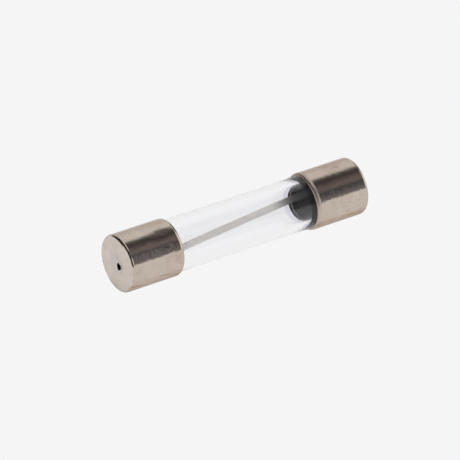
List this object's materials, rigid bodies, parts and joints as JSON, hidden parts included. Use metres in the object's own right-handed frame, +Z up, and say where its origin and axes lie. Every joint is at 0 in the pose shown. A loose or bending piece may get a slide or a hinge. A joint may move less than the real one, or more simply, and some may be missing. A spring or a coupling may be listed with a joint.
{
  "type": "glass cartridge fuse",
  "caption": "Clear glass tube with a plated metal cap on each end and a flat fusible strip inside, which clips into a fuse holder and melts to break an overloaded circuit.",
  "frame": {"origin": "on the fuse's long axis, midway between the two end faces", "axes": "X along the fuse, from the left cap at -X to the right cap at +X; Z up as it lies on a surface"},
  "size_m": [0.03, 0.0064, 0.0064],
  "materials": {
    "glass": "clear, polished",
    "caps": "bright nickel plate on brass, lightly tarnished",
    "strip": "dull zinc",
    "solder": "satin tin solder",
    "cement": "matte brown cement"
  },
  "bodies": {
    "root": {"glass_tube": "glass", "fuse_strip": "strip", "end_cap_left": "caps", "end_cap_right": "caps", "solder_left": "solder", "solder_right": "solder", "cement_left": "cement", "cement_right": "cement"}
  },
  "joints": []
}
